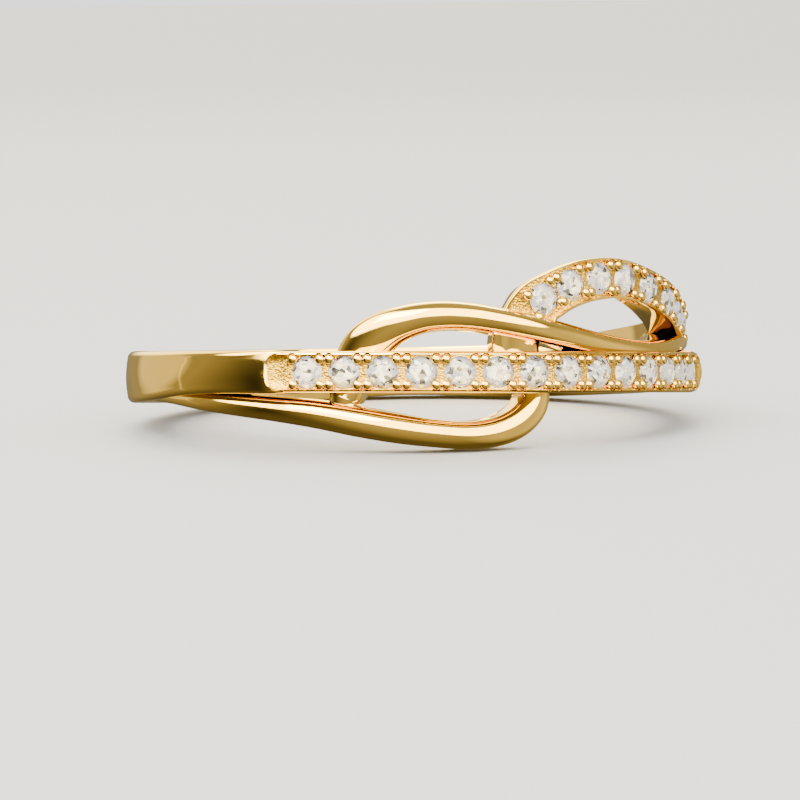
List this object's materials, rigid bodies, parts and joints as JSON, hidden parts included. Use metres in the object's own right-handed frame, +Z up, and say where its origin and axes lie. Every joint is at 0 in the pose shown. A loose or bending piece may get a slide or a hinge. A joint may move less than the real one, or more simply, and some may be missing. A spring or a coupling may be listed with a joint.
{
  "type": "finger ring set with round stones",
  "caption": "Gold finger ring with a stone-set straight band, a plain arching strand and a raised ribbon loop set with round stones, joined into a plain polished shank.",
  "frame": {"origin": "bottom centre of the ring's bounding box as it lies on its side on a flat surface", "axes": "+Z up from the surface; -Y towards the middle of the set front; +X to the right seen from the front"},
  "size_m": [0.0212, 0.021, 0.0065],
  "materials": {
    "gold": "polished yellow gold",
    "stone": "cut and polished clear gemstone"
  },
  "bodies": {
    "root": {"gold_ring": "gold", "band_stone_1": "stone", "band_stone_2": "stone", "band_stone_3": "stone", "band_stone_4": "stone", "band_stone_5": "stone", "band_stone_6": "stone", "band_stone_7": "stone", "band_stone_8": "stone", "band_stone_9": "stone", "band_stone_10": "stone", "band_stone_11": "stone", "band_stone_12": "stone", "band_stone_13": "stone", "band_stone_14": "stone", "loop_stone_1": "stone", "loop_stone_2": "stone", "loop_stone_3": "stone", "loop_stone_4": "stone", "loop_stone_5": "stone", "loop_stone_6": "stone", "loop_stone_7": "stone", "loop_stone_8": "stone"}
  },
  "joints": []
}
